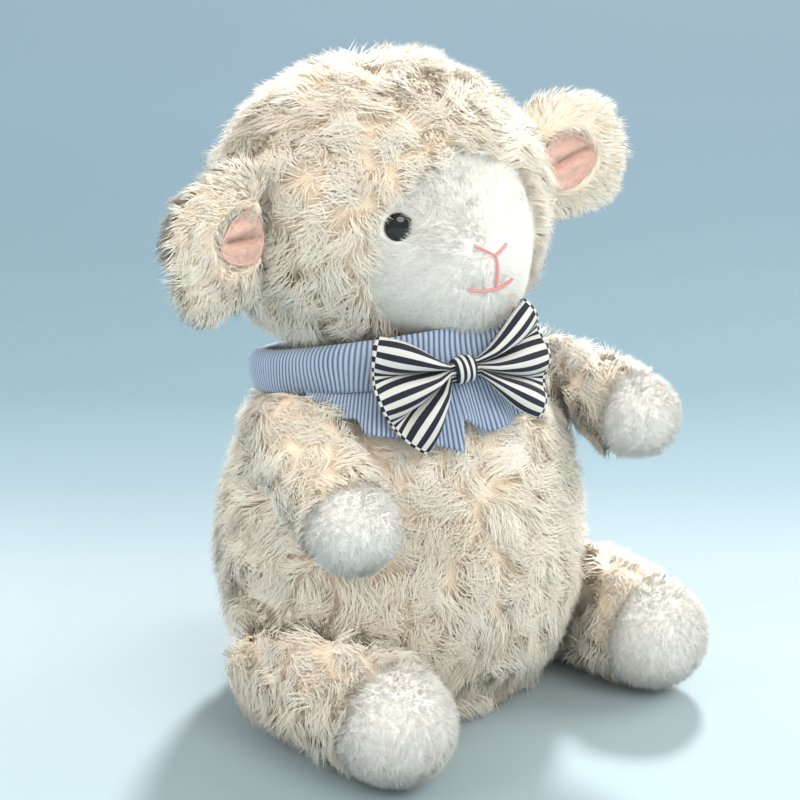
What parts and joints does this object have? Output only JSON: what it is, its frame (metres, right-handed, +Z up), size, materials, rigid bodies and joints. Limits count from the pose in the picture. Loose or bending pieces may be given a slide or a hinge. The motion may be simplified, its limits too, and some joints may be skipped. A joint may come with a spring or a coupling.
{
  "type": "plush sheep",
  "caption": "Seated plush sheep with a turning and nodding head, soft limbs, a corduroy collar and a striped bow.",
  "frame": {"origin": "on the surface that the toy sits on, under the middle of the torso", "axes": "+Z up, -Y the way the toy faces, +X its own left"},
  "size_m": [0.2641, 0.2193, 0.2923],
  "materials": {
    "cream_plush": "long brushed pile, combed in soft locks",
    "white_plush": "short dense pile",
    "pink_lining": "short velour",
    "stuffing": "loose polyester fibre",
    "pellet_cotton": "plain woven cotton",
    "eye_black": "high gloss",
    "washer_plastic": "matte",
    "pink_thread": "satin stitch",
    "blue_corduroy": "fine corduroy, ribs running up and down",
    "striped_cotton": "plain woven cotton, navy and off-white stripes"
  },
  "bodies": {
    "torso": {"torso_skin": "cream_plush", "torso_stuffing": "stuffing", "pellet_bag": "pellet_cotton", "collar_band": "blue_corduroy", "collar_bib": "blue_corduroy", "bow_cloth": "striped_cotton", "bow_knot": "striped_cotton"},
    "neck": {"neck_stuffing": "stuffing"},
    "head": {"head_skin": "cream_plush", "face_panel": "white_plush", "head_stuffing": "stuffing", "nose_stitches": "pink_thread", "mouth_stitches": "pink_thread", "left_eye": "eye_black", "left_eye_washer": "washer_plastic", "right_eye": "eye_black", "right_eye_washer": "washer_plastic"},
    "left_ear": {"left_ear_plush": "cream_plush", "left_ear_lining": "pink_lining"},
    "right_ear": {"right_ear_plush": "cream_plush", "right_ear_lining": "pink_lining"},
    "left_arm": {"left_sleeve": "cream_plush", "left_paw": "white_plush", "left_arm_stuffing": "stuffing"},
    "right_arm": {"right_sleeve": "cream_plush", "right_paw": "white_plush", "right_arm_stuffing": "stuffing"},
    "left_leg": {"left_leg_skin": "cream_plush", "left_foot": "white_plush", "left_leg_stuffing": "stuffing"},
    "right_leg": {"right_leg_skin": "cream_plush", "right_foot": "white_plush", "right_leg_stuffing": "stuffing"},
    "tail": {"tail_skin": "cream_plush", "tail_stuffing": "stuffing"}
  },
  "joints": [
    {"name": "head_nod", "type": "hinge", "parent": "torso", "child": "neck", "pos_m": [0, 0.006, 0.152], "axis": [-1, 0, 0], "range_deg": [0, 12], "stiffness_Nm_per_rad": 1},
    {"name": "head_turn", "type": "hinge", "parent": "neck", "child": "head", "pos_m": [0, 0.006, 0.152], "axis": [0, 0.1736, 0.9848], "range_deg": [-30, 30], "stiffness_Nm_per_rad": 0.5},
    {"name": "left_ear_fold", "type": "hinge", "parent": "head", "child": "left_ear", "pos_m": [0.07379, -0.00399, 0.23775], "axis": [-0.0901, 0.0054, 0.9959], "range_deg": [-20, 25], "stiffness_Nm_per_rad": 0.05},
    {"name": "right_ear_fold", "type": "hinge", "parent": "head", "child": "right_ear", "pos_m": [-0.08274, -0.00508, 0.229], "axis": [0.2917, 0.0441, -0.9555], "range_deg": [-20, 25], "stiffness_Nm_per_rad": 0.05},
    {"name": "left_arm_raise", "type": "hinge", "parent": "torso", "child": "left_arm", "pos_m": [0.07, -0.012, 0.134], "axis": [-0.9227, -0.0967, -0.3732], "range_deg": [-35, 25], "stiffness_Nm_per_rad": 0.3},
    {"name": "right_arm_raise", "type": "hinge", "parent": "torso", "child": "right_arm", "pos_m": [-0.07, -0.012, 0.134], "axis": [-0.939, 0.0543, 0.3395], "range_deg": [-20, 8], "stiffness_Nm_per_rad": 0.3},
    {"name": "left_leg_spread", "type": "hinge", "parent": "torso", "child": "left_leg", "pos_m": [0.072, -0.008, 0.034], "axis": [0, 0, 1], "range_deg": [-4, 35], "stiffness_Nm_per_rad": 0.3},
    {"name": "right_leg_spread", "type": "hinge", "parent": "torso", "child": "right_leg", "pos_m": [-0.072, -0.008, 0.034], "axis": [0, 0, -1], "range_deg": [-4, 35], "stiffness_Nm_per_rad": 0.3},
    {"name": "tail_lift", "type": "hinge", "parent": "torso", "child": "tail", "pos_m": [0, 0.08026, 0.052], "axis": [1, 0, 0], "range_deg": [-15, 35], "stiffness_Nm_per_rad": 0.02}
  ]
}
